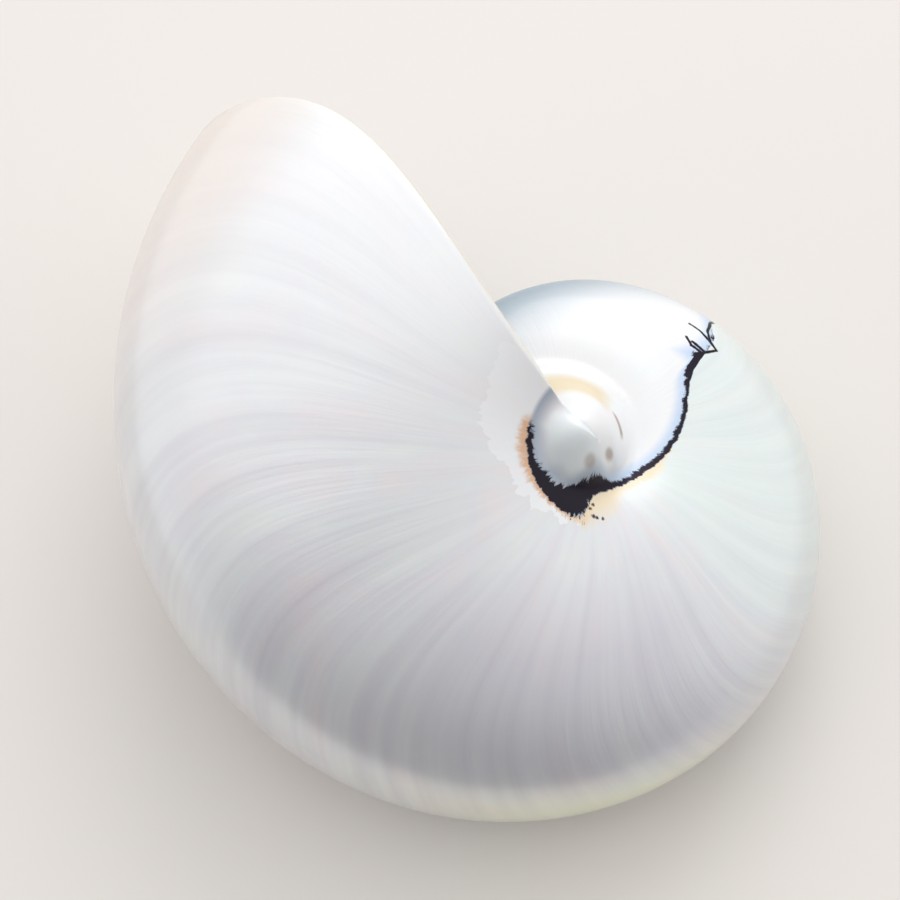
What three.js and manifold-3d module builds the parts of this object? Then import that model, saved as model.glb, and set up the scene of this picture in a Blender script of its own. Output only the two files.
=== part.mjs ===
// A whole chambered nautilus shell lying on its flank, as one solid, in millimetres with +Z up.
//
// The shell is first built upright on its coiling axis (Z) with its plane of symmetry at z = 0, then
// leaned over to the attitude that it rests in. Every whorl is the same section, swept about the axis
// while it grows by the same factor in each turn, so all lengths of the section are given as shares
// of the venter radius. "theta" is the growth angle: 0 at the lip station, negative further back.
import * as THREE from 'three';
import Module from 'manifold-3d';

// Growth spiral
const VENTER_RADIUS = 71.3; // coiling axis to outer rim, at theta = 0
const WHORL_EXPANSION = 2.85; // every length grows by this in one turn
const LIP_AZIMUTH = THREE.MathUtils.degToRad(124.5); // direction of theta = 0, seen from above

// Section of the whorl, as shares of the venter radius
const HALF_BREADTH = 0.362; // greatest half breadth
const BROADEST_AT = 0.353; // distance of that place from the axis
const VENTER_ROUNDNESS = [2, 2.95]; // superellipse exponents, radial and sideways
const UMBILICUS = [0.034, 0.228]; // where the wall meets the umbilicus: distance out, half breadth

// Lip: how far each place round it leads or lags theta = 0, in radians
const LIP_LEAD = -0.032; // the flanks
const SINUS = { depth: 0.233, width: 0.236 }; // bay over the venter
const BASE = { depth: 0.178, width: 0.313 }; // swing back to the umbilicus

const WALL = 1.4; // thickness of the shell wall
const LAST_SEPTUM = -2.2; // theta of the wall that closes the body chamber
const SEPTUM_DISH = 0.22; // how far its middle lies further back, in radians
const SIPHUNCLE = { radius: 1.5, depth: 7 }; // the neck in the middle of that wall
const CALLUS = { radius: 8, halfHeight: 18, fullness: 2.6 }; // plug that fills the umbilicus

// Attitude at rest: the flank leans by this, towards this direction seen from above
const LEAN = THREE.MathUtils.degToRad(14.14);
const LEAN_AZIMUTH = THREE.MathUtils.degToRad(-32.6);

// Facets
const RING_STEPS = 14; // from venter to umbilicus, on each side
const THETA_STEP = THREE.MathUtils.degToRad(7.5);
const DISH_RINGS = 4;
const SECTION_SAMPLES = 800; // that the section's length is measured from
const CALLUS_RINGS = 16;
const CALLUS_SIDES = 32;
const SIPHUNCLE_SIDES = 12;

// Joins, in radians of theta
const OVERLAP = 0.1; // how far each piece of whorl runs into the one before it
const PAST_LIP = 0.35; // how far the cutter of the body chamber runs out beyond the lip
const WOUND_HALF_TURNS = [1, 2, 3, 4]; // half turns inside the newest whorl, counted back

const growthRate = Math.log(WHORL_EXPANSION) / (2 * Math.PI);
const venterRadius = (theta) => VENTER_RADIUS * Math.exp(growthRate * theta);
const bump = (distance, { depth, width }) => depth * Math.exp(-((distance / width) ** 2));
const lipTheta = (v) => LIP_LEAD - bump(v, SINUS) - bump(1 - v, BASE);

// Half of the whorl section, from the venter (t = 0) over the flank to the umbilicus (t = 1):
// x is the distance from the axis and y the distance from the plane of symmetry.
class HalfSection extends THREE.Curve {
  getPoint(t, target = new THREE.Vector3()) {
    const outer = t < 0.5;
    const turn = (outer ? t : t - 0.5) * Math.PI;
    const cosine = Math.max(Math.cos(turn), 0);
    const sine = Math.sin(turn);
    if (outer) {
      const [radial, sideways] = VENTER_ROUNDNESS;
      const x = BROADEST_AT + (1 - BROADEST_AT) * cosine ** (2 / radial);
      return target.set(x, HALF_BREADTH * sine ** (2 / sideways), 0);
    }
    const [edge, breadth] = UMBILICUS;
    const x = BROADEST_AT - (BROADEST_AT - edge) * sine;
    return target.set(x, breadth + (HALF_BREADTH - breadth) * cosine, 0);
  }
}

const halfSection = new HalfSection();
halfSection.arcLengthDivisions = SECTION_SAMPLES;

// The ring of stations round the section, from the upper umbilicus over the venter to the lower one.
const ring = [];
for (let j = -RING_STEPS; j <= RING_STEPS; j += 1) {
  const v = Math.abs(j) / RING_STEPS;
  const side = j < 0 ? 1 : -1;
  const point = halfSection.getPointAt(v);
  const tangent = halfSection.getTangentAt(v);
  ring.push({ v, r: point.x, z: side * point.y, inR: -tangent.y, inZ: side * tangent.x });
}

// The middle of the section, on the plane of symmetry.
const MIDDLE = { r: BROADEST_AT, z: 0, inR: 0, inZ: 0 };

// A point of the section at theta, moved into the whorl by inset.
function placed(station, theta, inset = 0) {
  const size = venterRadius(theta);
  const radius = station.r * size + station.inR * inset;
  const azimuth = LIP_AZIMUTH - theta;
  return [
    radius * Math.cos(azimuth),
    radius * Math.sin(azimuth),
    station.z * size + station.inZ * inset,
  ];
}

// A closed tube of the whole section between two growth angles. startAt and endAt give the angle for
// each place v round the section, and dish pushes the middle of the start cap further back.
function whorl(startAt, endAt, { inset = 0, dish = 0 } = {}) {
  const count = ring.length;
  const steps = Math.ceil((endAt(0.5) - startAt(0.5)) / THETA_STEP);
  const positions = [];
  const triangles = [];
  const towardsMiddle = (station, share) => ({
    r: THREE.MathUtils.lerp(MIDDLE.r, station.r, share),
    z: station.z * share,
    inR: station.inR * share,
    inZ: station.inZ * share,
  });
  const addRing = (stationAt) => ring.forEach((station) => positions.push(...stationAt(station)));
  const joinRings = (first, second) => {
    for (let j = 0; j < count; j += 1) {
      const next = (j + 1) % count;
      triangles.push(first + j, second + j, second + next);
      triangles.push(first + j, second + next, first + next);
    }
  };

  // start cap: a centre, then rings that open out to the whole section
  positions.push(...placed(MIDDLE, startAt(0.5) - dish, inset));
  for (let k = 1; k < DISH_RINGS; k += 1) {
    const share = k / DISH_RINGS;
    const back = dish * (1 - share ** 2);
    addRing((s) => placed(towardsMiddle(s, share), startAt(s.v) - back, inset));
  }
  for (let i = 0; i <= steps; i += 1) {
    addRing((s) => placed(s, THREE.MathUtils.lerp(startAt(s.v), endAt(s.v), i / steps), inset));
  }
  for (let j = 0; j < count; j += 1) triangles.push(0, 1 + j, 1 + ((j + 1) % count));
  const rings = DISH_RINGS - 1 + steps;
  for (let k = 0; k < rings; k += 1) joinRings(1 + k * count, 1 + (k + 1) * count);

  // end cap: one fan
  const last = 1 + rings * count;
  const apex = positions.length / 3;
  positions.push(...placed(MIDDLE, endAt(0.5), inset));
  for (let j = 0; j < count; j += 1) triangles.push(apex, last + ((j + 1) % count), last + j);
  return { positions, triangles };
}

const wasm = await Module();
wasm.setup();

function solid({ positions, triangles }) {
  const vertProperties = new Float32Array(positions);
  const triVerts = new Uint32Array(triangles);
  return new wasm.Manifold(new wasm.Mesh({ numProp: 3, vertProperties, triVerts }));
}

// Closed surface of revolution about Z through profile points [radius, z], both ends on the axis.
function turned(profile, sides) {
  const inner = profile.slice(1, -1);
  const positions = [0, 0, profile[0][1]];
  const triangles = [];
  inner.forEach(([radius, z]) => {
    for (let s = 0; s < sides; s += 1) {
      const angle = (2 * Math.PI * s) / sides;
      positions.push(radius * Math.cos(angle), radius * Math.sin(angle), z);
    }
  });
  const top = positions.length / 3;
  positions.push(0, 0, profile.at(-1)[1]);
  for (let s = 0; s < sides; s += 1) {
    const next = (s + 1) % sides;
    triangles.push(0, 1 + next, 1 + s);
    for (let k = 0; k < inner.length - 1; k += 1) {
      const low = 1 + k * sides;
      const high = low + sides;
      triangles.push(low + s, low + next, high + next, low + s, high + next, high + s);
    }
    triangles.push(top, top - sides + s, top - sides + next);
  }
  return { positions, triangles };
}

// The same surface, moved by a matrix.
function moved({ positions, triangles }, matrix) {
  const attribute = new THREE.Float32BufferAttribute(positions, 3).applyMatrix4(matrix);
  return { positions: attribute.array, triangles };
}

// Callus: a spindle through the umbilicus, from one flank to the other.
function callus() {
  const profile = [];
  for (let k = 0; k <= CALLUS_RINGS; k += 1) {
    const z = -CALLUS.halfHeight * Math.cos((Math.PI * k) / CALLUS_RINGS);
    const share = Math.abs(z / CALLUS.halfHeight) ** CALLUS.fullness;
    profile.push([CALLUS.radius * Math.sqrt(1 - share), z]);
  }
  return solid(turned(profile, CALLUS_SIDES));
}

// Siphuncle: a short bore from the middle of the last septum back along the spiral.
function siphuncle() {
  const { radius, depth } = SIPHUNCLE;
  const half = depth / 2;
  const theta = LAST_SEPTUM - SEPTUM_DISH;
  const lieAlong = new THREE.Matrix4()
    .makeRotationZ(LIP_AZIMUTH - theta)
    .multiply(new THREE.Matrix4().makeRotationX(Math.PI / 2))
    .setPosition(...placed(MIDDLE, theta));
  const profile = [[0, -half], [radius, -half], [radius, half], [0, half]];
  return solid(moved(turned(profile, SIPHUNCLE_SIDES), lieAlong));
}

// The whorls that carry the outside, and those they are wound on. Each is under a full turn, so that
// none overlaps itself.
const at = (theta) => () => theta;
const newest = solid(whorl(at(-Math.PI - OVERLAP), lipTheta));
const older = WOUND_HALF_TURNS.map((halfTurns) => {
  const end = -halfTurns * Math.PI;
  return solid(whorl(at(end - Math.PI - OVERLAP), at(end)));
});
const wound = older.reduce((sum, part) => sum.add(part)).add(callus());

// Body chamber: the inside of the newest whorl from the last septum out through the lip, less what
// the whorl is wound on.
const chamber = solid(
  whorl(at(LAST_SEPTUM), (v) => lipTheta(v) + PAST_LIP, { inset: WALL, dish: SEPTUM_DISH }),
).subtract(wound);

const body = newest.add(wound).subtract(chamber).subtract(siphuncle());

function geometryOf(manifold) {
  const mesh = manifold.getMesh();
  const geometry = new THREE.BufferGeometry();
  geometry.setAttribute('position', new THREE.BufferAttribute(mesh.vertProperties, 3));
  geometry.setIndex(new THREE.BufferAttribute(mesh.triVerts, 1));
  geometry.computeVertexNormals();
  return geometry;
}

const nacre = new THREE.MeshStandardMaterial({ color: 0xe9e6e2, roughness: 0.22, metalness: 0 });
const shell = new THREE.Mesh(geometryOf(body), nacre);
shell.name = 'shell';

// Lean the shell over so that the support direction points down, then stand its box on the origin.
const support = new THREE.Vector3(
  Math.sin(LEAN) * Math.cos(LEAN_AZIMUTH),
  Math.sin(LEAN) * Math.sin(LEAN_AZIMUTH),
  -Math.cos(LEAN),
);
shell.quaternion.setFromUnitVectors(support, new THREE.Vector3(0, 0, -1));
shell.updateMatrixWorld(true);
const box = new THREE.Box3().setFromObject(shell, true);
const centre = box.getCenter(new THREE.Vector3());
shell.position.set(-centre.x, -centre.y, -box.min.z);

const nautilus = new THREE.Group();
nautilus.add(shell);

export default nautilus;
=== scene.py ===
"""A whole chambered nautilus shell, polished down to its nacre, lying on its flank.

The shell is wound by a Geometry Nodes tree in its own upright frame: the coiling axis is Z and the
plane of symmetry is z = 0. It is then leaned over and stood in the box of the CAD part. "turn" counts
whorls back from the mouth, "growth" counts them along the growth lines, and "girth" runs round the
section from the venter (0) over either flank to the umbilicus (1 and -1).
"""

import math
from functools import partial

import bpy
from bpy.props import FloatProperty, FloatVectorProperty, PointerProperty
from mathutils import Matrix, Quaternion, Vector


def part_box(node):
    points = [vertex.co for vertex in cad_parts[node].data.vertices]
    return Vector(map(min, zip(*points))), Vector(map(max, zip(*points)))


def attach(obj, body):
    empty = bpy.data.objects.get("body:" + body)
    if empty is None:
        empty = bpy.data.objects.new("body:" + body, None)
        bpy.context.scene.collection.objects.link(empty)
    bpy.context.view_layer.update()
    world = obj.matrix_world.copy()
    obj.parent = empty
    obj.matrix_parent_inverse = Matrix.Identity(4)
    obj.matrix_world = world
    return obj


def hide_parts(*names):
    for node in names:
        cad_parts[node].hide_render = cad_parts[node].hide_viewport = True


bl_info = {
    "name": "Polished nautilus shell",
    "version": (1, 0, 0),
    "blender": (4, 5, 0),
    "location": "View3D > Sidebar > Nautilus",
    "description": "Winds a pearl nautilus shell and sets up a plain studio for it",
    "category": "Add Mesh",
}

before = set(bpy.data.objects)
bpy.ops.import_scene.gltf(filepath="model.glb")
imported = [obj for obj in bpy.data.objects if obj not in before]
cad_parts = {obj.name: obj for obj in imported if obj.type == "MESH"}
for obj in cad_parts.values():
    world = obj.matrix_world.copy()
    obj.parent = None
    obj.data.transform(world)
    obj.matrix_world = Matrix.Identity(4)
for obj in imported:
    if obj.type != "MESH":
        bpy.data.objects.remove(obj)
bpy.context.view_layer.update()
SHELL_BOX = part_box("shell")

MM = 0.001
TAU = 2 * math.pi
MATH = "ShaderNodeMath"
MIX = "ShaderNodeMix"
MAP = "ShaderNodeMapRange"
VECTOR = "ShaderNodeVectorMath"
JOIN = "ShaderNodeCombineXYZ"
NOISE = "ShaderNodeTexNoise"

# Columns of the sheet: round the section, and from the umbilicus to the axis at either end.
GIRTH_STEPS = 73
CLOSING_STEPS = 2
# Rows of the sheet, in the order that it is wound: the stages from the oldest growth line out to the
# lip, over its edge and back inside to the last septum.
STAGES = {"cap": 4, "spiral": 340, "edge": 10, "inside": 100, "septum": 14}

# The callus, a mound over the umbilicus.
CALLUS_MIDDLE = (-2.3, 1.6)  # its top, in millimetres from the axis
CALLUS_STEEPNESS = 1.7  # exponent of its side: over 1 gives it a spreading foot
CALLUS_BLEND = 3.2 * MM  # how widely it runs into the whorls
CALLUS_FALL = 20 * MM  # how far its foot drops in each further radius out
LAYER_STEP = 0.3 * MM  # how far the youngest turn of the sheet lies over the one a turn older


def linear(hex_colour):
    """An sRGB hex colour as linear RGBA."""
    channels = [int(hex_colour[i : i + 2], 16) / 255 for i in (1, 3, 5)]
    curve = [c / 12.92 if c <= 0.04045 else ((c + 0.055) / 1.055) ** 2.4 for c in channels]
    return (*curve, 1.0)


def colour(name, description, hex_colour):
    return FloatVectorProperty(
        name=name,
        description=description,
        default=linear(hex_colour),
        size=4,
        min=0,
        max=1,
        subtype="COLOR",
    )


def add(tree, kind, *values, named=None, **settings):
    """Adds a node with its settings, and its inputs as values or links. Gives its first output."""
    node = tree.nodes.new(kind)
    for key, value in settings.items():
        setattr(node, key, value)
    open_inputs = [socket for socket in node.inputs if socket.enabled]
    pairs = list(zip(open_inputs, values))
    pairs += [(node.inputs[key], value) for key, value in (named or {}).items()]
    for socket, value in pairs:
        if isinstance(value, bpy.types.NodeSocket):
            tree.links.new(value, socket)
        elif value is not None:
            socket.default_value = value
    return next((socket for socket in node.outputs if socket.enabled), None)


def bend(output, points):
    """Lays the curve of a Float Curve node through the points."""
    curve = output.node.mapping.curves[0]
    for _ in points[2:]:
        curve.points.new(0.5, 0.5)
    for point, place in zip(curve.points, points):
        point.location = place
    output.node.mapping.extend = "HORIZONTAL"
    output.node.mapping.update()
    return output


class NautilusSpiral(bpy.types.PropertyGroup):
    """The sizes that the shell is wound from."""

    venter_radius: FloatProperty(
        name="Venter radius",
        description="From the coiling axis to the outer rim, at the mouth",
        default=71.3 * MM,
        unit="LENGTH",
    )
    whorl_expansion: FloatProperty(
        name="Whorl expansion", description="How much every length grows in a turn", default=2.85
    )
    mouth_azimuth: FloatProperty(
        name="Mouth azimuth",
        description="Direction of the mouth, seen from above",
        default=math.radians(124.5),
        subtype="ANGLE",
    )
    half_breadth: FloatProperty(
        name="Half breadth", description="Of the whorl, as a share of the venter radius", default=0.362
    )
    broadest_at: FloatProperty(
        name="Broadest at", description="Distance from the axis, as a share", default=0.353
    )
    venter_roundness: FloatProperty(
        name="Venter roundness", description="Superellipse exponent of the flanks", default=2.95
    )
    umbilicus_radius: FloatProperty(
        name="Umbilicus radius", description="Where the wall turns in, as a share", default=0.034
    )
    umbilicus_breadth: FloatProperty(
        name="Umbilicus breadth", description="Half breadth at that place, as a share", default=0.228
    )
    lip_lead: FloatProperty(
        name="Lip lead", description="Growth angle of the lip on the flanks", default=-0.032, subtype="ANGLE"
    )
    sinus_depth: FloatProperty(
        name="Sinus depth", description="Bay of the lip over the venter", default=0.233, subtype="ANGLE"
    )
    sinus_width: FloatProperty(
        name="Sinus width", description="Width of that bay, in girth", default=0.236
    )
    base_depth: FloatProperty(
        name="Base depth", description="Swing back of the lip at its foot", default=0.178, subtype="ANGLE"
    )
    base_width: FloatProperty(
        name="Base width", description="Width of that swing, in girth", default=0.313
    )
    lip_thickness: FloatProperty(
        name="Lip thickness", description="Wall at the lip", default=1.0 * MM, unit="LENGTH"
    )
    wall_thickness: FloatProperty(
        name="Wall thickness", description="Wall inside the body chamber", default=1.4 * MM, unit="LENGTH"
    )
    oldest: FloatProperty(
        name="Oldest growth line", description="Growth angle that the sheet starts at", default=-8.6
    )
    last_septum: FloatProperty(
        name="Last septum", description="Growth angle of the wall behind the body chamber", default=-2.2
    )
    septum_dish: FloatProperty(
        name="Septum dish", description="How far its middle lies further back", default=0.22
    )
    callus_radius: FloatProperty(
        name="Callus radius", description="Mound over the umbilicus", default=11.0 * MM, unit="LENGTH"
    )
    throat_radius: FloatProperty(
        name="Throat radius",
        description="Where the skin starts to draw in to the axis, under the callus",
        default=7.3 * MM,
        unit="LENGTH",
    )
    callus_foot: FloatProperty(
        name="Callus foot",
        description="Height of the mound's foot over the plane of symmetry",
        default=10 * MM,
        unit="LENGTH",
    )
    callus_rise: FloatProperty(
        name="Callus rise", description="Height of the mound over its foot", default=12.0 * MM, unit="LENGTH"
    )
    callus_lower: FloatProperty(
        name="Lower callus rise", description="The same on the underside", default=8 * MM, unit="LENGTH"
    )
    lean: FloatProperty(
        name="Lean",
        description="How far the flank leans at rest",
        default=math.radians(14.14),
        subtype="ANGLE",
    )
    lean_azimuth: FloatProperty(
        name="Lean azimuth",
        description="Direction that it leans towards",
        default=math.radians(-32.6),
        subtype="ANGLE",
    )


class NautilusColours(bpy.types.PropertyGroup):
    """Colours of the polished shell."""

    nacre: colour("Nacre", "Main colour of the flanks", "#E3E2E2")
    # The streak colour also greys the low-lying growth as painted shade
    streak: colour("Streak", "Darker growth lines", "#C3C0CA")
    rose: colour("Rose", "Rainbow tint", "#E8DBE0")
    sky: colour("Sky", "Rainbow tint", "#DAE1EA")
    mint: colour("Mint", "Rainbow tint", "#E2EEEA")
    # The greenish-yellow cast is a painted reflection of the floor in the low-lying venter
    floor_reflection: colour("Citron", "Greenish-yellow cast low on the venter", "#F1F4CF")
    parietal: colour("Parietal wall", "White wall beside the mouth", "#EDEEF0")
    # The steel-blue band is part bluish pearl and part painted shade and reflection of the dark room under
    # the lip
    brow_and_shade: colour("Brow", "Steel-blue venter of that wall", "#7F98A8")
    peach: colour("Peach", "Warm cast of the youngest growth", "#EBDCD0")
    # The tan crescent is painted shade, laid in the hollow between the callus and the parietal wall
    hollow_shade: colour("Crescent", "Tan hollow beside the callus", "#E2CFA4")
    chipped: colour("Chipped layer", "Paler layer round the umbilicus", "#F3F4F6")
    stain: colour("Stain", "Brown stain outside the film", "#D9A97E")
    cream: colour("Cream stain", "Pale stain outside the film", "#EEDCBB")
    shine: colour("Shine", "Blue shine inside the film", "#B3CCEC")
    dusk: colour("Dusk", "Deeper blue beside the callus", "#8E9DB1")
    film: colour("Film", "The black film", "#26212B")
    rust: colour("Rust", "Brown stains and pinpricks", "#8C6A55")
    lip: colour("Lip", "Horny edge of the lip", "#D8CDAE")


class NautilusStudio(bpy.types.PropertyGroup):
    """Camera, lights and floor."""

    floor: colour("Floor", "Plain warm paper", "#EAE5E0")
    elevation: FloatProperty(
        name="Camera elevation", description="Over the floor", default=math.radians(69.1), subtype="ANGLE"
    )
    azimuth: FloatProperty(
        name="Camera heading", description="Clockwise from +Y", default=math.radians(-3.59), subtype="ANGLE"
    )
    roll: FloatProperty(
        name="Camera roll",
        description="About the line of sight",
        default=math.radians(-5.65),
        subtype="ANGLE",
    )
    distance: FloatProperty(
        name="Camera distance", description="From its aim", default=250.2 * MM, unit="LENGTH"
    )
    lens: FloatProperty(name="Lens", description="Focal length in millimetres", default=71.13)
    aim: FloatVectorProperty(
        name="Camera aim",
        description="The point in the middle of the picture",
        default=(-2.82 * MM, 3.95 * MM, 20 * MM),
        subtype="TRANSLATION",
        unit="LENGTH",
    )
    key: FloatProperty(
        name="Key light", description="Softbox behind the shell", default=1.35, unit="POWER"
    )
    fill: FloatProperty(name="Fill light", description="Softbox overhead", default=0.3, unit="POWER")
    surround: FloatProperty(name="Surround", description="Strength of the room light", default=1.08)
    dim: FloatProperty(name="Dim side", description="Strength of the room's dim side", default=0.2)
    dim_side: FloatVectorProperty(
        name="Dim side direction",
        description="Where the room is dim",
        default=(0.0, -0.97, 0.2),
        subtype="DIRECTION",
    )


def spiral_tree(sizes, material):
    """The shell as one closed sheet: a grid whose rows are growth lines."""
    tree = bpy.data.node_groups.new("Nautilus spiral", "GeometryNodeTree")
    tree.is_modifier = True
    keys = {}
    for key in sizes.__annotations__:
        label = sizes.bl_rna.properties[key].name
        socket = tree.interface.new_socket(label, in_out="INPUT", socket_type="NodeSocketFloat")
        keys[key] = socket.identifier
    tree.interface.new_socket("Shell", in_out="OUTPUT", socket_type="NodeSocketGeometry")
    put = partial(add, tree)
    inputs = put("NodeGroupInput").node.outputs
    given = {key: next(s for s in inputs if s.identifier == name) for key, name in keys.items()}

    profile = section_curve(put, given)
    sheet, row, across = sheet_grid(put)
    stage = stages(put, row)

    # place round the section
    even = put(MATH, put(MATH, across, operation="ABSOLUTE"), 1.0, operation="MINIMUM")
    # the columns are closest by the umbilicus, where the callus and the film need them
    crowd = put(MATH, put(MATH, even, math.pi, operation="MULTIPLY"), operation="SINE")
    girth = put(MATH, crowd, 0.5 / math.pi, even, operation="MULTIPLY_ADD")
    side = put(MATH, across, operation="SIGN")
    last_column = 1 + CLOSING_STEPS / GIRTH_STEPS
    closing = put(MAP, put(MATH, across, operation="ABSOLUTE"), 1.0, last_column, 1.0, 0.0)
    sample = put("GeometryNodeSampleCurve", mode="FACTOR", use_all_curves=True, data_type="FLOAT").node
    tree.links.new(profile, sample.inputs["Curves"])
    tree.links.new(girth, sample.inputs["Factor"])
    at = put("ShaderNodeSeparateXYZ", sample.outputs["Position"]).node.outputs
    along = put("ShaderNodeSeparateXYZ", sample.outputs["Tangent"]).node.outputs

    # the caps shrink the section to its middle
    before_septum = put(MATH, 1.0, stage["septum"], operation="SUBTRACT")
    share = put(MATH, stage["cap"], before_septum, operation="MULTIPLY")
    radius_share = put(MIX, share, given["broadest_at"], at["X"])
    height_share = put(MATH, at["Z"], share, operation="MULTIPLY")
    in_radius = put(MATH, along["Z"], put(MATH, share, -1.0, operation="MULTIPLY"), operation="MULTIPLY")
    in_height = put(MATH, along["X"], share, operation="MULTIPLY")

    # growth angle
    lip = lip_angle(put, given, girth)
    to_wind = put(MATH, 1.0, stage["spiral"], operation="SUBTRACT")
    start = put(MATH, given["oldest"], to_wind, operation="MULTIPLY")
    outside = put(MATH, lip, stage["cap"], start, operation="MULTIPLY_ADD")
    wound = put(MIX, stage["inside"], outside, given["last_septum"])
    hollow = put(MATH, 1.0, put(MATH, share, 2.0, operation="POWER"), operation="SUBTRACT")
    dished = put(MATH, given["septum_dish"], hollow, operation="MULTIPLY")
    angle = put(MATH, wound, dished, operation="SUBTRACT")
    turns = put(MATH, angle, TAU, operation="DIVIDE")
    grown = put(MATH, given["whorl_expansion"], turns, operation="POWER")
    size = put(MATH, given["venter_radius"], grown, operation="MULTIPLY")

    # the rounded edge of the lip, and the wall behind it
    edge_turn = put(MATH, stage["edge"], math.pi, operation="MULTIPLY")
    # the lip thins out to nothing where it runs into the callus
    thin = put(MAP, girth, 0.84, 0.96, 0.5, 0.02, interpolation_type="SMOOTHSTEP")
    half_lip = put(MATH, given["lip_thickness"], thin, operation="MULTIPLY")
    edge_in = put(MATH, 1.0, put(MATH, edge_turn, operation="COSINE"), operation="SUBTRACT")
    thicken = put(MAP, stage["inside"], 0.0, 0.3, 0.0, 1.0, interpolation_type="SMOOTHSTEP")
    spare = put(MATH, given["wall_thickness"], given["lip_thickness"], operation="SUBTRACT")
    inset = put(
        MATH, half_lip, edge_in, put(MATH, spare, thicken, operation="MULTIPLY"), operation="MULTIPLY_ADD"
    )
    reach = put(MATH, put(MATH, radius_share, 0.2, operation="MAXIMUM"), size, operation="MULTIPLY")
    swell = put(MATH, half_lip, put(MATH, edge_turn, operation="SINE"), operation="MULTIPLY")
    forward = put(MATH, swell, reach, operation="DIVIDE")

    # radius, drawn in to the axis under the callus, and height over the plane of symmetry
    radius = put(MATH, radius_share, size, operation="MULTIPLY")
    hole = put(MATH, given["umbilicus_radius"], size, operation="MULTIPLY")
    near = put(MAP, radius, given["throat_radius"], hole, 0.0, 0.96, interpolation_type="SMOOTHSTEP")
    drawn = put(MATH, radius, put(MATH, hole, near, operation="MULTIPLY"), operation="SUBTRACT")
    skin_radius = put(MATH, in_radius, inset, drawn, operation="MULTIPLY_ADD")
    heading = put(MATH, given["mouth_azimuth"], angle, operation="SUBTRACT")
    skin_height = put(MATH, height_share, size, operation="MULTIPLY")
    upper = put(MAP, side, -1.0, 1.0, given["callus_lower"], given["callus_rise"])
    lift = callus_lift(put, given, upper, drawn, heading, skin_height, start)
    outer = put(MATH, 1.0, stage["inside"], operation="SUBTRACT")
    lifted = put(MATH, put(MATH, outer, lift, operation="MULTIPLY"), stage["cap"], operation="MULTIPLY")
    height = put(MATH, skin_height, lifted, operation="ADD")
    rise = put(MATH, in_height, inset, height, operation="MULTIPLY_ADD")
    folded = put(MATH, put(MATH, rise, side, operation="MULTIPLY"), closing, operation="MULTIPLY")

    spoke = put(JOIN, skin_radius, 0.0, folded)
    place = put(
        "ShaderNodeVectorRotate",
        named={"Vector": spoke, "Angle": put(MATH, heading, forward, operation="SUBTRACT")},
        rotation_type="Z_AXIS",
    )
    # the marks are stored while the sheet is flat, because they are worked out from where it lies
    marks = {
        "turn": ("FLOAT", put(MATH, turns, -1.0, operation="MULTIPLY")),
        "growth": ("FLOAT", put(MATH, start, -TAU, operation="DIVIDE")),
        "girth": ("FLOAT", put(MATH, girth, side, operation="MULTIPLY")),
        "inner": ("FLOAT", stage["edge"]),
        "upright": ("FLOAT_VECTOR", place),
    }
    shell = sheet
    for name, (kind, value) in marks.items():
        shell = put(
            "GeometryNodeStoreNamedAttribute", shell, None, name, value, data_type=kind, domain="POINT"
        )
    shell = put("GeometryNodeSetPosition", shell, named={"Position": place})
    shell = put("GeometryNodeMergeByDistance", shell, named={"Distance": 1e-7})
    shell = put("GeometryNodeSetShadeSmooth", shell)
    shell = put("GeometryNodeRealizeInstances", shell)
    shell = put("GeometryNodeSetMaterial", shell, named={"Material": material})
    put("NodeGroupOutput", shell)
    return tree, keys


def section_curve(put, given):
    """Half of the whorl's section: out from the axis is X, away from the plane of symmetry is Z."""
    line = put("GeometryNodeCurvePrimitiveLine", named={"Start": (0, 0, 0), "End": (1, 0, 0)})
    fine = put("GeometryNodeResampleCurve", line, named={"Count": 240})
    turn = put(MATH, put("GeometryNodeSplineParameter"), math.pi, operation="MULTIPLY")
    outward = put(MATH, turn, operation="COSINE")
    sideways = put(MATH, put(MATH, turn, operation="SINE"), 0.0, operation="MAXIMUM")
    outer = put(MATH, outward, 0.0, operation="GREATER_THAN")
    centre = given["broadest_at"]
    to_umbilicus = put(MATH, centre, given["umbilicus_radius"], operation="SUBTRACT")
    to_venter = put(MATH, 1.0, centre, operation="SUBTRACT")
    x = put(MATH, outward, put(MIX, outer, to_umbilicus, to_venter), centre, operation="MULTIPLY_ADD")
    power = put(MATH, 2.0, given["venter_roundness"], operation="DIVIDE")
    rounded = put(MATH, sideways, power, operation="POWER")
    flank = put(MATH, given["half_breadth"], rounded, operation="MULTIPLY")
    spare = put(MATH, given["half_breadth"], given["umbilicus_breadth"], operation="SUBTRACT")
    shoulder = put(MATH, spare, sideways, given["umbilicus_breadth"], operation="MULTIPLY_ADD")
    z = put(MIX, outer, shoulder, flank)
    return put("GeometryNodeSetPosition", fine, named={"Position": put(JOIN, x, 0.0, z)})


def sheet_grid(put):
    """The flat sheet, its row number, and its place across as signed girth, past 1 where it closes."""
    rows = sum(STAGES.values()) + 1
    columns = 2 * (GIRTH_STEPS + CLOSING_STEPS) + 1
    sheet = put(
        "GeometryNodeMeshGrid",
        named={"Size X": 1.0, "Size Y": 1.0, "Vertices X": rows, "Vertices Y": columns},
    )
    flat = put("ShaderNodeSeparateXYZ", put("GeometryNodeInputPosition")).node.outputs
    row = put(MATH, put(MATH, flat["X"], 0.5, operation="ADD"), rows - 1.0, operation="MULTIPLY")
    span = 1 + CLOSING_STEPS / GIRTH_STEPS
    across = put(MATH, flat["Y"], -2 * span, operation="MULTIPLY")
    return sheet, row, across


def stages(put, row):
    """How far each stage has gone at this row, from 0 to 1."""
    done = {}
    first = 0
    for name, steps in STAGES.items():
        done[name] = put(MAP, row, float(first), float(first + steps), 0.0, 1.0)
        first += steps
    return done


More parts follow.
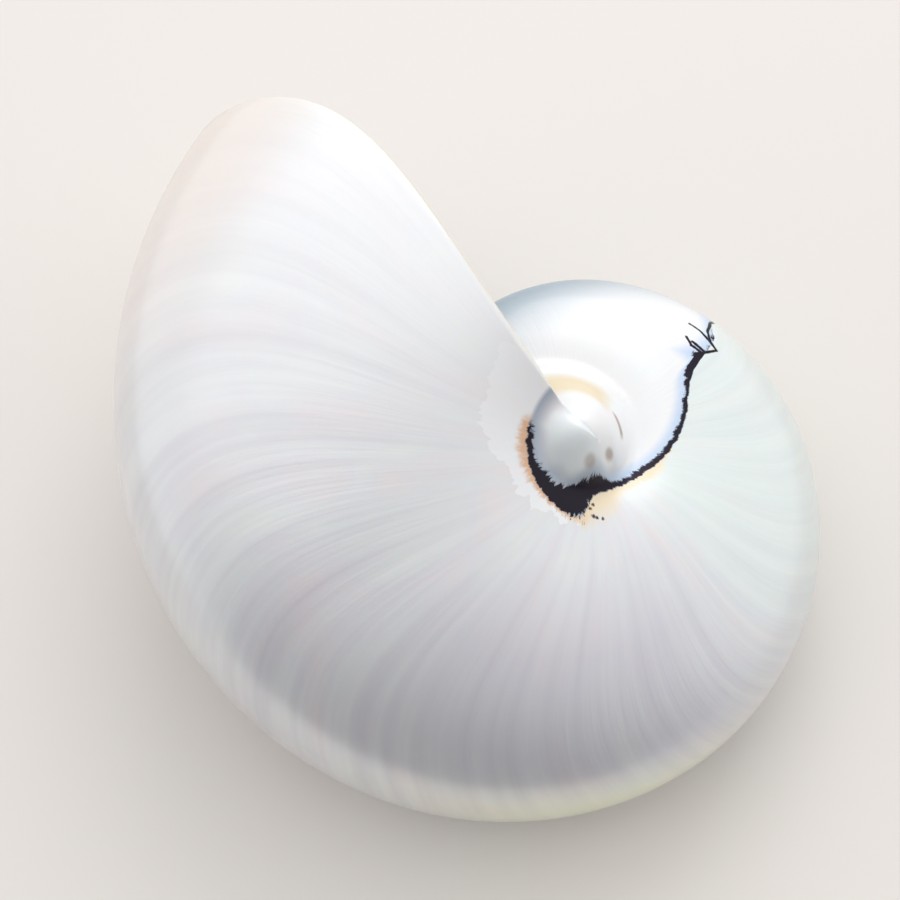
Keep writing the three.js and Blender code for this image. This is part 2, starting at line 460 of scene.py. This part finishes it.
def lip_angle(put, given, girth):
    """How far the lip leads or lags the mouth at this girth."""
    lag = given["lip_lead"]
    foot = put(MATH, 1.0, girth, operation="SUBTRACT")
    for distance, bay in ((girth, "sinus"), (foot, "base")):
        ratio = put(MATH, distance, given[f"{bay}_width"], operation="DIVIDE")
        square = put(MATH, ratio, ratio, operation="MULTIPLY")
        bell = put(MATH, put(MATH, square, -1.0, operation="MULTIPLY"), operation="EXPONENT")
        swing = put(MATH, given[f"{bay}_depth"], bell, operation="MULTIPLY")
        lag = put(MATH, lag, swing, operation="SUBTRACT")
    return lag


def callus_lift(put, given, rise, radius, heading, height, start):
    """How far the skin is raised where the callus fills the umbilicus."""
    x = put(MATH, radius, put(MATH, heading, operation="COSINE"), operation="MULTIPLY")
    y = put(MATH, radius, put(MATH, heading, operation="SINE"), operation="MULTIPLY")
    middle = (*(MM * side for side in CALLUS_MIDDLE), 0.0)
    away = put(VECTOR, put(JOIN, x, y, 0.0), middle, operation="DISTANCE").node.outputs["Value"]
    ratio = put(MATH, away, given["callus_radius"], operation="DIVIDE")
    hump = put(MATH, 1.0, put(MATH, ratio, 2.0, operation="POWER"), operation="SUBTRACT")
    dome = put(MATH, put(MATH, hump, 0.0, operation="MAXIMUM"), CALLUS_STEEPNESS, operation="POWER")
    past = put(MATH, put(MATH, ratio, 1.0, operation="SUBTRACT"), 0.0, operation="MAXIMUM")
    fall = put(MATH, past, -CALLUS_FALL, given["callus_foot"], operation="MULTIPLY_ADD")
    top = put(MATH, dome, rise, fall, operation="MULTIPLY_ADD")
    # each older turn of the sheet lies a little lower, so that no two share one surface
    age = put(MATH, start, -TAU, operation="DIVIDE")
    fade = put(MAP, age, 0.0, 0.06, 0.0, 1.0, interpolation_type="SMOOTHSTEP")
    step = put(MATH, put(MATH, 1.0, age, operation="SUBTRACT"), LAYER_STEP, operation="MULTIPLY")
    crown = put(MATH, step, fade, top, operation="MULTIPLY_ADD")
    covered = put(MATH, height, crown, CALLUS_BLEND, operation="SMOOTH_MAX")
    return put(MATH, covered, height, operation="SUBTRACT")


# The black film's rim round the umbilicus: turns back from the mouth, and millimetres from the axis.
FILM_RIM = (
    (0.10, 9.2),
    (0.20, 9.3),
    (0.30, 9.4),
    (0.365, 9.7),
    (0.382, 9.3),
    (0.40, 7.4),
    (0.43, 6.1),
    (0.49, 6.0),
    (0.566, 7.3),
    (0.611, 8.8),
    (0.64, 10.5),
    (0.672, 12.7),
    (0.706, 15.4),
    (0.736, 17.8),
    (0.754, 20.2),
    (0.762, 23.4),
    (0.768, 29.0),
)
# Where the black ends on the inside, given in the same way.
FILM_HEEL = (
    (0.11, 9.0),
    (0.135, 8.5),
    (0.18, 8.3),
    (0.215, 8.0),
    (0.25, 7.2),
    (0.29, 6.8),
    (0.32, 6.0),
    (0.352, 4.9),
    (0.40, 4.0),
    (0.457, 3.9),
    (0.517, 5.2),
    (0.57, 6.4),
    (0.617, 8.0),
    (0.653, 10.2),
    (0.688, 12.8),
    (0.715, 15.1),
    (0.746, 18.0),
    (0.762, 19.6),
    (0.768, 24.0),
)
# How far the stain and the chipped layer reach out from the black film's rim.
STAIN_WIDTH = (
    (0.09, 0.4),
    (0.13, 1.5),
    (0.20, 1.4),
    (0.28, 0.7),
    (0.355, 0.6),
    (0.38, 1.4),
    (0.40, 3.6),
    (0.455, 4.2),
    (0.48, 3.4),
    (0.51, 1.8),
    (0.57, 1.2),
    (0.615, 2.0),
    (0.65, 0.6),
    (0.70, 0.0),
)
CHIP_WIDTH = (
    (0.0, 7.6),
    (0.05, 6.6),
    (0.11, 6.3),
    (0.15, 5.4),
    (0.20, 4.0),
    (0.25, 2.6),
    (0.31, 1.6),
    (0.36, 0.8),
    (0.42, 0.0),
)
WIDEST = 30.0  # millimetres at the top of those four curves
PARIETAL_TURN = 0.7665  # where the film crosses the whorl to the venter
VENTER_TURN = 0.7785  # the same on the venter, where it lies further back
# The film's thin forked end, from place to place as turn and girth.
CRACKS = (
    ((0.772, 0.0), (0.779, 0.18)),
    ((0.779, 0.18), (0.776, 0.25)),
    ((0.776, 0.25), (0.768, 0.291)),
    ((0.768, 0.291), (0.759, 0.306)),
    ((0.759, 0.306), (0.765, 0.363)),
    ((0.768, 0.291), (0.781, 0.273)),
    ((0.781, 0.273), (0.791, 0.271)),
    ((0.765, 0.363), (0.777, 0.363)),
    ((0.777, 0.363), (0.786, 0.341)),
    ((0.764, 0.351), (0.779, 0.345)),
)
CRACK_SCALE = (163.0, 39.0)  # millimetres there to a turn, and from the venter to the umbilicus
# Small marks, with their places in plan in millimetres from the axis.
CALLUS_STAINS = (((2.3, -1.1), 1.1, 0.65), ((-0.7, -2.4), 1.2, 0.45))  # place, radius and strength
CALLUS_LINE = {"radius": 7.3, "middle": (4.5, 3.6)}  # a brown arc round the middle of the callus
HOLLOW_SHADE_RADIUS = 7.7  # of the tan crescent of painted shade in the hollow, round the middle of the callus
FILM_SPECKS = ((0.3, -9.0), (0.8, -9.2), (1.6, -9.3), (0.0, -8.0), (0.4, -7.4))
PINPRICK_SPACING = 22.0  # millimetres
# How many waves each pattern has in a turn of the whorl, and from the venter to the umbilicus. A turn is
# about 160 mm long in the middle of the youngest flank.
STREAKS = (82.8, 0.792)
TINTS = (30.6, 4.5)
RIPPLES = (208.0, 2.4)
STROKES_PER_TURN = 95.0  # brush-like strokes across the black film's edges
SHADED_GROWTH = 0.38  # turns back to the middle of the low-lying growth that is greyed with painted shade
CORNER_TURN = 0.385  # where the film's rim steps in towards the axis


def nacre_material(colours):
    """Nautilus nacre, ground and polished.

    A part-metallic base mirrors the room softly in the nacre's own tint, a thin hard coat gives it the
    wet polish, and a little scattering takes the edge off its shadows. The black film is a dull skin.
    """
    material = bpy.data.materials.new("Polished nautilus nacre")
    material.use_nodes = True
    tree = material.node_tree
    tree.nodes.clear()
    put = partial(add, tree)
    at = surface_places(put)
    skin = flank_colour(put, at, colours)
    skin = parietal_colour(put, at, colours, skin)
    skin, black = film_colour(put, at, colours, skin)
    skin = blemishes(put, at, colours, skin)
    # the pearly mirror is weak inside the shell and by the umbilicus, and full 8 mm out from the film
    full = put(MAP, at["outside"], 0.0, 1.0, 0.1, 0.4)
    pearly = put(MAP, at["from_rim"], 0.0, 8.0, 0.05, full)
    shader = put(
        "ShaderNodeBsdfPrincipled",
        skin,
        named={
            "Metallic": put(MIX, black, pearly, 0.85),
            "Roughness": 0.3,
            "IOR": 1.53,
            "Subsurface Weight": 0.12,
            "Subsurface Scale": 0.002,
            "Coat Weight": put(MAP, black, 0.0, 1.0, 0.35, 0.0),
            "Coat Roughness": 0.12,
            "Normal": growth_relief(put, at),
        },
    )
    put("ShaderNodeOutputMaterial", shader)
    return material


def surface_places(put):
    """Where a point lies on the shell, from the attributes that the spiral left."""
    at = {
        name: put("ShaderNodeAttribute", attribute_name=name).node.outputs["Fac"]
        for name in ("turn", "growth", "girth", "inner")
    }
    upright = put("ShaderNodeAttribute", attribute_name="upright").node.outputs["Vector"]
    at["upright"] = put(VECTOR, upright, (1 / MM,) * 3, operation="MULTIPLY")
    at["plan"] = put(VECTOR, at["upright"], (1.0, 1.0, 0.0), operation="MULTIPLY")
    at["radius"] = put(VECTOR, at["plan"], operation="LENGTH").node.outputs["Value"]
    at["flank"] = put(MATH, at["girth"], operation="ABSOLUTE")
    at["outside"] = put(MAP, at["inner"], 0.0, 0.2, 1.0, 0.0)
    # distance from the film's rim, out over the flank
    rim = width_curve(put, at, FILM_RIM)
    round_umbilicus = put(MATH, at["radius"], rim, operation="SUBTRACT")
    crossing_turn = put(MAP, at["flank"], 0.18, 0.29, VENTER_TURN, PARIETAL_TURN)
    turns_out = put(MATH, crossing_turn, at["turn"], operation="SUBTRACT")
    angle = put(MATH, turns_out, TAU, operation="MULTIPLY")
    over_whorl = put(MATH, angle, at["radius"], operation="MULTIPLY")
    at["from_rim"] = put(MATH, round_umbilicus, over_whorl, 1.0, operation="SMOOTH_MIN")
    # distance from the film's heel, which is 1.1 mm inside the rim on the flank and meets it by the venter
    heel = put(MATH, at["radius"], width_curve(put, at, FILM_HEEL), operation="SUBTRACT")
    crossing = put(MATH, over_whorl, put(MAP, at["flank"], 0.35, 0.42, 0.0, 1.1), operation="ADD")
    at["from_heel"] = put(MATH, heel, crossing, 0.6, operation="SMOOTH_MIN")
    # strokes that lie across the rim, about half a millimetre wide
    round_turn = put(MATH, at["turn"], STROKES_PER_TURN, operation="MULTIPLY")
    strokes = put(JOIN, round_turn, at["radius"], at["girth"])
    strokes = put(VECTOR, strokes, (1.0, 0.5, 6.0), operation="MULTIPLY")
    ragged = put(NOISE, named={"Vector": strokes, "Scale": 1.0, "Detail": 5.0, "Roughness": 0.75})
    at["ragged"] = put(MATH, ragged, 0.5, operation="SUBTRACT")
    # the same three times coarser, for the torn edge of a layer
    tears = put(VECTOR, strokes, (0.35, 0.2, 0.35), operation="MULTIPLY")
    torn = put(NOISE, named={"Vector": tears, "Scale": 1.0, "Detail": 3.0, "Roughness": 0.6})
    at["torn"] = put(MATH, torn, 0.5, operation="SUBTRACT")
    return at


def away_from(put, at, place):
    """Distance in plan from a place, in millimetres."""
    return put(VECTOR, at["plan"], (*place, 0.0), operation="DISTANCE").node.outputs["Value"]


def growth_waves(put, at, waves):
    """A place for a noise to be read at, so that it has so many waves along and across the growth."""
    along, across = waves
    return put(
        JOIN,
        put(MATH, at["growth"], along, operation="MULTIPLY"),
        put(MATH, at["girth"], across, operation="MULTIPLY"),
        0.0,
    )


def width_curve(put, at, points):
    """A width in millimetres that changes with the turn."""
    curve = put("ShaderNodeFloatCurve", 1.0, at["turn"])
    bend(curve, [(turn, width / WIDEST) for turn, width in points])
    return put(MATH, curve, WIDEST, operation="MULTIPLY")


def beyond(put, distance, edge, ragged, chips, soft):
    """1 where distance is past the edge, which is ragged by chips and as wide as soft, all in mm."""
    frayed = put(MATH, ragged, chips, distance, operation="MULTIPLY_ADD")
    over = put(MATH, frayed, edge, operation="SUBTRACT")
    return put(MAP, over, -soft / 2, soft / 2, 0.0, 1.0, interpolation_type="SMOOTHSTEP")


def flank_colour(put, at, colours):
    """Pearly flanks: growth-line streaks, faint rainbow tints and a warm or mint cast in places, with
    painted shade on the low-lying growth and a painted reflection of the floor low on the venter.
    """
    bands = growth_waves(put, at, TINTS)
    cast = put(NOISE, named={"Vector": bands, "Scale": 1.0, "Detail": 2.0, "Distortion": 0.6})
    rainbow = put("ShaderNodeValToRGB", cast)
    ramp = rainbow.node.color_ramp
    ramp.elements[0].position = 0.3
    ramp.elements[1].position = 0.7
    ramp.elements[0].color = colours.rose
    ramp.elements[1].color = colours.mint
    ramp.elements.new(0.5).color = colours.sky
    pearl = put(MIX, 0.35, colours.nacre, rainbow, data_type="RGBA")
    pale = put(MAP, at["growth"], 0.02, 0.19, 0.65, 0.0)
    pearl = put(MIX, pale, pearl, colours.chipped, data_type="RGBA")
    # the streaks are fainter in the youngest growth, and where the growth lines crowd by the umbilicus
    lines = growth_waves(put, at, STREAKS)
    streak = put(NOISE, named={"Vector": lines, "Scale": 1.0, "Detail": 6.0, "Roughness": 0.55})
    strength = put(MAP, at["flank"], 0.5, 0.8, 0.6, 0.1)
    strength = put(MATH, strength, put(MAP, at["growth"], 0.03, 0.2, 0.3, 1.0), operation="MULTIPLY")
    dim = put(MAP, streak, 0.38, 0.75, 0.0, strength)
    pearl = put(MIX, dim, pearl, colours.streak, data_type="RGBA")
    # painted shade: the low-lying growth, between the venter and the umbilicus, greyed towards the streak
    # colour
    low_lying = put(MATH, at["growth"], SHADED_GROWTH, operation="SUBTRACT")
    from_shaded_growth = put(MATH, low_lying, operation="ABSOLUTE")
    painted_shade = put(MAP, from_shaded_growth, 0.04, 0.2, 0.5, 0.0, interpolation_type="SMOOTHSTEP")
    painted_shade = put(MATH, painted_shade, put(MAP, at["flank"], 0.10, 0.28), operation="MULTIPLY")
    painted_shade = put(MATH, painted_shade, put(MAP, at["flank"], 0.5, 0.72, 1.0, 0.1), operation="MULTIPLY")
    pearl = put(MIX, painted_shade, pearl, colours.streak, data_type="RGBA")
    # a warm cast on the youngest growth, mint on the oldest, and a painted greenish-yellow reflection of the
    # floor low on the venter
    young = put(MAP, at["growth"], 0.02, 0.13, 0.55, 0.0, interpolation_type="SMOOTHSTEP")
    shoulder = put(MAP, at["flank"], 0.20, 0.38, 1.0, 0.0, interpolation_type="SMOOTHSTEP")
    warm = put(MATH, young, shoulder, operation="MULTIPLY")
    pearl = put(MIX, warm, pearl, colours.peach, data_type="RGBA")
    old = put(MAP, at["growth"], 0.47, 0.60, 0.0, 0.6, interpolation_type="SMOOTHSTEP")
    pearl = put(MIX, old, pearl, colours.mint, data_type="RGBA")
    # painted reflection of the floor, greenish-yellow, where the venter lies low
    low = put(MAP, from_shaded_growth, 0.0, 0.13, 0.7, 0.0, interpolation_type="SMOOTHSTEP")
    keel = put(MAP, at["flank"], 0.08, 0.24, 1.0, 0.0, interpolation_type="SMOOTHSTEP")
    yellow = put(MATH, low, keel, operation="MULTIPLY")
    return put(MIX, yellow, pearl, colours.floor_reflection, data_type="RGBA")


def parietal_colour(put, at, colours, skin):
    """The white wall beside the mouth, inside the film, with a steel-blue band over its venter that is part
    pearl and part painted shade and reflection, and a tan crescent of painted shade in the hollow by the
    callus.
    """
    inside = put(MAP, at["from_rim"], -0.6, 0.0, 1.0, 0.0)
    skin = put(MIX, inside, skin, colours.parietal, data_type="RGBA")
    # the steel-blue band, partly the pearl's own colour and partly painted shade and a painted reflection of
    # the dark room under the lip, darkens and widens towards the lip
    reach = put(MAP, at["turn"], 0.80, 0.94, 0.24, 0.52)
    brow_and_shade = put(MAP, at["flank"], 0.04, reach, 1.0, 0.0, interpolation_type="SMOOTHSTEP")
    near_lip = put(MAP, at["turn"], 0.78, 0.90, 0.45, 1.0, interpolation_type="SMOOTHSTEP")
    amount = put(MATH, put(MATH, brow_and_shade, near_lip, operation="MULTIPLY"), inside, operation="MULTIPLY")
    skin = put(MIX, amount, skin, colours.brow_and_shade, data_type="RGBA")
    # painted shade: a tan crescent in the hollow between the callus and the parietal wall
    past_ring = put(MATH, away_from(put, at, CALLUS_MIDDLE), HOLLOW_SHADE_RADIUS, operation="SUBTRACT")
    off_ring = put(MATH, past_ring, operation="ABSOLUTE")
    ring = put(MAP, off_ring, 0.8, 2.8, 1.0, 0.0, interpolation_type="SMOOTHSTEP")
    begins = put(MAP, at["turn"], 0.80, 0.86, 0.0, 0.95, interpolation_type="SMOOTHSTEP")
    hollow_shade = put(MATH, ring, begins, operation="MULTIPLY")
    return put(MIX, hollow_shade, skin, colours.hollow_shade, data_type="RGBA")


def film_colour(put, at, colours, skin):
    """The black film's ragged band, the stain and chipped layer outside it, the blue shine inside.

    Gives the colour and where it is black.
    """
    out = at["from_rim"]
    # the chipped layer, which ends at the film's corner
    chips = width_curve(put, at, CHIP_WIDTH)
    inside_chips = put(MATH, 1.0, beyond(put, out, chips, at["torn"], 6.5, 0.2), operation="SUBTRACT")
    chipped = put(MATH, inside_chips, beyond(put, out, 0.0, at["ragged"], 0.4, 0.3), operation="MULTIPLY")
    chipped = put(MATH, chipped, put(MAP, at["turn"], 0.36, 0.42, 1.0, 0.0), operation="MULTIPLY")
    skin = put(MIX, put(MATH, chipped, 0.6, operation="MULTIPLY"), skin, colours.chipped, data_type="RGBA")
    # the stain, brown on the mouth side and cream further back
    stain = width_curve(put, at, STAIN_WIDTH)
    frayed = put(MATH, at["ragged"], 2.6, out, operation="MULTIPLY_ADD")
    spread = put(MATH, frayed, put(MATH, stain, 0.05, operation="ADD"), operation="DIVIDE")
    stained = put(MAP, spread, 0.25, 1.1, 1.0, 0.0, interpolation_type="SMOOTHSTEP")
    stained = put(MATH, stained, beyond(put, out, -0.3, at["ragged"], 0.4, 0.3), operation="MULTIPLY")
    stained = put(MATH, stained, put(MAP, at["turn"], 0.095, 0.12, 0.0, 0.9), operation="MULTIPLY")
    stained = put(MATH, stained, put(MAP, at["turn"], 0.66, 0.69, 1.0, 0.0), operation="MULTIPLY")
    hue = put(MAP, at["turn"], 0.3, 0.42, 0.0, 1.0)
    stain_hue = put(MIX, hue, colours.stain, colours.cream, data_type="RGBA")
    skin = put(MIX, stained, skin, stain_hue, data_type="RGBA")
    # the blue shine, darkest beside the callus
    depth = at["from_heel"]
    glow = put(MAP, depth, -2.6, 0.0, 0.0, 0.8, interpolation_type="SMOOTHSTEP")
    within = put(MAP, out, -0.4, 0.2, 1.0, 0.0)
    shine = put(MATH, glow, within, operation="MULTIPLY")
    past_callus = put(MAP, at["turn"], 0.40, 0.6, 0.0, 1.0)
    shine_hue = put(MIX, past_callus, colours.dusk, colours.shine, data_type="RGBA")
    skin = put(MIX, shine, skin, shine_hue, data_type="RGBA")
    # the black itself, which ends in long teeth on the cream stain
    inner_edge = beyond(put, depth, 0.0, at["ragged"], 3.2, 0.4)
    corner = put(MATH, put(MATH, at["turn"], CORNER_TURN, operation="SUBTRACT"), operation="ABSOLUTE")
    teeth = put(MAP, corner, 0.01, 0.05, 8.0, 1.6)
    outer_edge = put(MATH, 1.0, beyond(put, out, 0.0, at["ragged"], teeth, 0.2), operation="SUBTRACT")
    black = put(MATH, inner_edge, outer_edge, operation="MULTIPLY")
    black = put(MATH, black, put(MAP, at["turn"], 0.108, 0.125, 0.0, 1.0), operation="MULTIPLY")
    black = put(MATH, black, cracks(put, at), operation="MAXIMUM")
    black = put(MATH, black, at["outside"], operation="MULTIPLY")
    # the inside of the body chamber is plain
    skin = put(MIX, at["outside"], colours.parietal, skin, data_type="RGBA")
    return put(MIX, black, skin, colours.film, data_type="RGBA"), black


def cracks(put, at):
    """The film's thin forked end, which runs up over the venter."""
    to_mm = Vector((*CRACK_SCALE, 0.0))
    flat = put(VECTOR, put(JOIN, at["turn"], at["flank"], 0.0), to_mm, operation="MULTIPLY")
    nearest = None
    for start, end in CRACKS:
        first, last = (Vector((*place, 0.0)) * to_mm for place in (start, end))
        along = last - first
        offset = put(VECTOR, flat, first, operation="SUBTRACT")
        dot = put(VECTOR, offset, along / along.length_squared, operation="DOT_PRODUCT")
        share = put(MAP, dot.node.outputs["Value"])
        foot = put(VECTOR, named={"Vector": along, "Scale": share}, operation="SCALE")
        gap = put(VECTOR, offset, foot, operation="DISTANCE").node.outputs["Value"]
        nearest = gap if nearest is None else put(MATH, nearest, gap, operation="MINIMUM")
    thin = put(MATH, at["ragged"], 0.5, nearest, operation="MULTIPLY_ADD")
    return put(MAP, thin, 0.14, 0.30, 1.0, 0.0, interpolation_type="SMOOTHSTEP")


def blemishes(put, at, colours, skin):
    """Stains, a brown line and black specks on the upper flank, pinpricks and the lip's horny edge."""
    upper = put(MAP, at["girth"], 0.0, 0.1)
    spots = []
    for place, size, strength in CALLUS_STAINS:
        apart = away_from(put, at, place)
        spot = put(MAP, apart, 0.3 * size, size, strength, 0.0, interpolation_type="SMOOTHSTEP")
        spots.append((spot, colours.rust))
    past_line = put(MATH, away_from(put, at, CALLUS_MIDDLE), CALLUS_LINE["radius"], operation="SUBTRACT")
    off_line = put(MATH, past_line, operation="ABSOLUTE")
    line = put(MAP, off_line, 0.15, 0.55, 0.9, 0.0, interpolation_type="SMOOTHSTEP")
    ends = put(MAP, away_from(put, at, CALLUS_LINE["middle"]), 1.2, 2.2, 1.0, 0.0)
    spots.append((put(MATH, line, ends, operation="MULTIPLY"), colours.rust))
    for place in FILM_SPECKS:
        apart = put(MATH, at["ragged"], away_from(put, at, place), operation="ADD")
        spots.append((put(MAP, apart, 0.12, 0.3, 1.0, 0.0), colours.film))
    for spot, hue in spots:
        skin = put(MIX, put(MATH, spot, upper, operation="MULTIPLY"), skin, hue, data_type="RGBA")
    cells = put("ShaderNodeTexVoronoi", named={"Vector": at["upright"], "Scale": 1 / PINPRICK_SPACING})
    prick = put(MAP, cells, 0.008, 0.018, 0.7, 0.0)
    skin = put(MIX, prick, skin, colours.rust, data_type="RGBA")
    rim = put(MATH, at["inner"], put(MATH, 1.0, at["inner"], operation="SUBTRACT"), operation="MULTIPLY")
    edge = put(MAP, rim, 0.02, 0.2, 0.0, 0.7)
    return put(MIX, edge, skin, colours.lip, data_type="RGBA")


def growth_relief(put, at):
    """Growth lines, worn down to a ripple that only the gloss shows."""
    lines = growth_waves(put, at, RIPPLES)
    ripple = put(NOISE, named={"Vector": lines, "Scale": 1.0, "Detail": 3.0})
    strength = put(MAP, at["flank"], 0.5, 0.8, 0.12, 0.02)
    return put("ShaderNodeBump", named={"Strength": strength, "Distance": 0.4 * MM, "Height": ripple})


class NAUTILUS_OT_shell(bpy.types.Operator):
    """Wind the shell and stand it in the place of the CAD part"""

    bl_idname = "nautilus.shell"
    bl_label = "Nautilus shell"

    def execute(self, context):
        sizes = context.scene.nautilus_spiral
        material = nacre_material(context.scene.nautilus_colours)
        tree, keys = spiral_tree(sizes, material)
        seed = bpy.data.objects.new("spiral", bpy.data.meshes.new("spiral"))
        context.scene.collection.objects.link(seed)
        modifier = seed.modifiers.new("Nautilus spiral", "NODES")
        modifier.node_group = tree
        for key, identifier in keys.items():
            modifier[identifier] = getattr(sizes, key)
        context.view_layer.update()
        wound = seed.evaluated_get(context.evaluated_depsgraph_get())
        mesh = bpy.data.meshes.new_from_object(wound)
        bpy.data.objects.remove(seed)
        if not mesh.polygons:
            raise RuntimeError("the spiral tree made no faces")
        stand(mesh, sizes)
        mesh.name = "nautilus_shell"
        shell = bpy.data.objects.new("nautilus_shell", mesh)
        context.scene.collection.objects.link(shell)
        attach(shell, "root")
        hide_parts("shell")
        return {"FINISHED"}


def stand(mesh, sizes):
    """Leans the upright shell over and stands its box on that of the CAD part."""
    support = Vector(
        (
            math.sin(sizes.lean) * math.cos(sizes.lean_azimuth),
            math.sin(sizes.lean) * math.sin(sizes.lean_azimuth),
            -math.cos(sizes.lean),
        )
    )
    mesh.transform(support.rotation_difference(Vector((0, 0, -1))).to_matrix().to_4x4())
    low, high = (
        Vector(pick(v.co[axis] for v in mesh.vertices) for axis in range(3)) for pick in (min, max)
    )
    box_low, box_high = SHELL_BOX
    shift = (box_low + box_high) / 2 - (low + high) / 2
    shift.z = box_low.z - low.z
    mesh.transform(Matrix.Translation(shift))


class NAUTILUS_OT_studio(bpy.types.Operator):
    """Set up the pale floor, the soft lights and the camera"""

    bl_idname = "nautilus.studio"
    bl_label = "Studio"

    def execute(self, context):
        studio = context.scene.nautilus_studio
        make_floor(context.scene, studio)
        make_lights(context.scene, studio)
        make_camera(context.scene, studio)
        return {"FINISHED"}


# The plain studio, in metres.
FLOOR_HALF = 1.5
SOFTBOXES = {"key": (0.5, (0.15, 0.55, 0.5)), "fill": (0.7, (-0.2, 0.1, 0.8))}  # side and place
DIMMING = (0.2, 0.92)  # cosines to the dim side, from the room's full light to its least


def make_floor(scene, studio):
    """A plain sheet of matt paper, which spreads the light evenly and shows no gloss."""
    mesh = bpy.data.meshes.new("floor")
    half = FLOOR_HALF
    corners = [(-half, -half, 0), (half, -half, 0), (half, half, 0), (-half, half, 0)]
    mesh.from_pydata(corners, [], [(0, 1, 2, 3)])
    material = bpy.data.materials.new("Matt paper")
    material.use_nodes = True
    shader = material.node_tree.nodes["Principled BSDF"]
    shader.inputs["Base Color"].default_value = studio.floor
    shader.inputs["Roughness"].default_value = 0.9
    mesh.materials.append(material)
    floor = bpy.data.objects.new("floor", mesh)
    scene.collection.objects.link(floor)


def make_lights(scene, studio):
    """A white room whose near side is dim, so that the polish has something to mirror, and softboxes."""
    world = bpy.data.worlds.new("Studio room")
    world.use_nodes = True
    tree = world.node_tree
    tree.nodes.clear()
    put = partial(add, tree)
    way = put("ShaderNodeTexCoord").node.outputs["Generated"]
    toward = put(VECTOR, way, studio.dim_side, operation="DOT_PRODUCT").node.outputs["Value"]
    light = put(MAP, toward, *DIMMING, studio.surround, studio.dim, interpolation_type="SMOOTHSTEP")
    room = put("ShaderNodeBackground", linear("#FFFFFF"), light)
    backdrop = put("ShaderNodeBackground", studio.floor, 1.0)
    seen = put("ShaderNodeLightPath").node.outputs["Is Camera Ray"]
    put("ShaderNodeOutputWorld", put("ShaderNodeMixShader", seen, room, backdrop))
    scene.world = world
    for name, (side, place) in SOFTBOXES.items():
        data = bpy.data.lights.new(name, "AREA")
        data.energy = getattr(studio, name)
        data.size = side
        light = bpy.data.objects.new(name, data)
        light.location = place
        light.rotation_euler = (-Vector(place)).to_track_quat("-Z", "Y").to_euler()
        scene.collection.objects.link(light)


def make_camera(scene, studio):
    """The camera, on its line of sight through the aim and rolled about it."""
    ahead = Vector(
        (
            math.cos(studio.elevation) * math.sin(studio.azimuth),
            math.cos(studio.elevation) * math.cos(studio.azimuth),
            -math.sin(studio.elevation),
        )
    )
    data = bpy.data.cameras.new("camera")
    data.lens = studio.lens
    data.clip_start = 0.01
    camera = bpy.data.objects.new("camera", data)
    camera.location = Vector(studio.aim) - ahead * studio.distance
    camera.rotation_mode = "QUATERNION"
    camera.rotation_quaternion = ahead.to_track_quat("-Z", "Y") @ Quaternion((0, 0, 1), studio.roll)
    scene.collection.objects.link(camera)
    scene.camera = camera
    scene.view_settings.view_transform = "Standard"


class NAUTILUS_PT_panel(bpy.types.Panel):
    """Lists the settings and what can be made from them"""

    bl_label = "Nautilus shell"
    bl_idname = "NAUTILUS_PT_panel"
    bl_space_type = "VIEW_3D"
    bl_region_type = "UI"
    bl_category = "Nautilus"

    def draw(self, context):
        layout = self.layout
        scene = context.scene
        groups = (
            (NAUTILUS_OT_shell, (scene.nautilus_spiral, scene.nautilus_colours)),
            (NAUTILUS_OT_studio, (scene.nautilus_studio,)),
        )
        for operator, settings in groups:
            column = layout.column()
            for group in settings:
                for key in group.__annotations__:
                    column.prop(group, key)
            column.operator(operator.bl_idname)


CLASSES = (
    NautilusSpiral,
    NautilusColours,
    NautilusStudio,
    NAUTILUS_OT_shell,
    NAUTILUS_OT_studio,
    NAUTILUS_PT_panel,
)


def register():
    for cls in CLASSES:
        bpy.utils.register_class(cls)
    bpy.types.Scene.nautilus_spiral = PointerProperty(type=NautilusSpiral)
    bpy.types.Scene.nautilus_colours = PointerProperty(type=NautilusColours)
    bpy.types.Scene.nautilus_studio = PointerProperty(type=NautilusStudio)


def unregister():
    del bpy.types.Scene.nautilus_studio
    del bpy.types.Scene.nautilus_colours
    del bpy.types.Scene.nautilus_spiral
    for cls in reversed(CLASSES):
        bpy.utils.unregister_class(cls)


def main():
    register()
    bpy.ops.nautilus.shell()
    bpy.ops.nautilus.studio()


if __name__ == "__main__":
    main()
